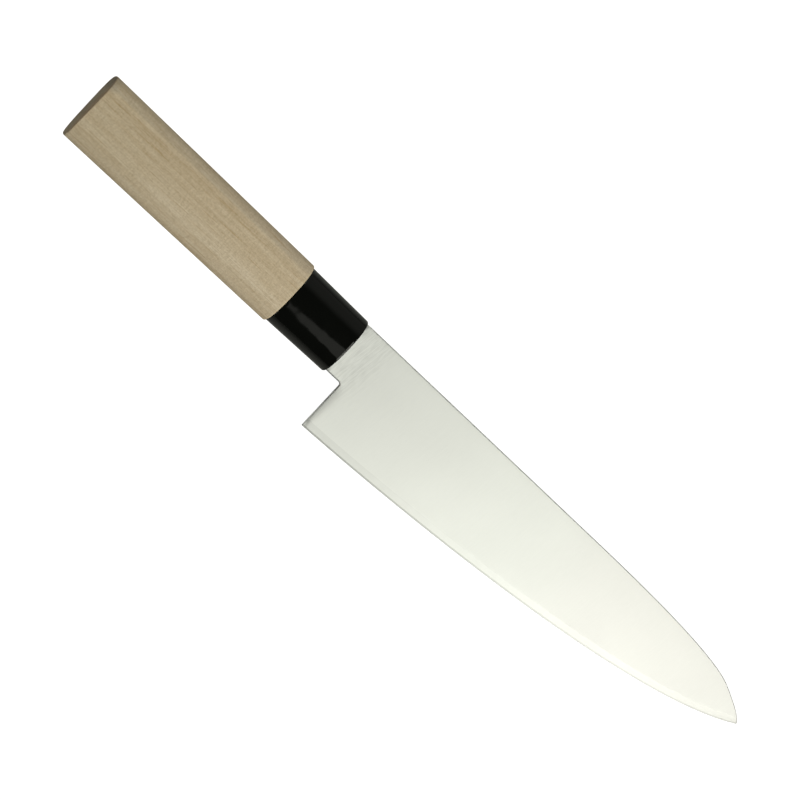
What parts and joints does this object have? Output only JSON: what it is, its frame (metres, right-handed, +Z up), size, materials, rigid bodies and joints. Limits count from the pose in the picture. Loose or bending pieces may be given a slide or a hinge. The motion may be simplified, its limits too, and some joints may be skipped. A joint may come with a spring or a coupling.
{
  "type": "japanese kitchen knife",
  "caption": "Japanese cook's knife with a laminated stainless blade, a black resin ferrule and a tapered oval handle of pale magnolia wood.",
  "frame": {"origin": "on the table, under the middle of the knife's box, as the knife lies at rest on its left side", "axes": "+X along the knife to the tip, +Y across it to the spine, +Z up out of the right face"},
  "size_m": [0.3016, 0.0406, 0.0259],
  "materials": {
    "core_steel": "satin",
    "cladding_steel": "satin",
    "black_resin": "gloss",
    "magnolia_wood": "satin",
    "bedding_resin": "satin"
  },
  "bodies": {
    "root": {"core_steel": "core_steel", "cladding_right": "cladding_steel", "cladding_left": "cladding_steel", "ferrule": "black_resin", "handle_wood": "magnolia_wood", "tang_bedding": "bedding_resin"}
  },
  "joints": []
}
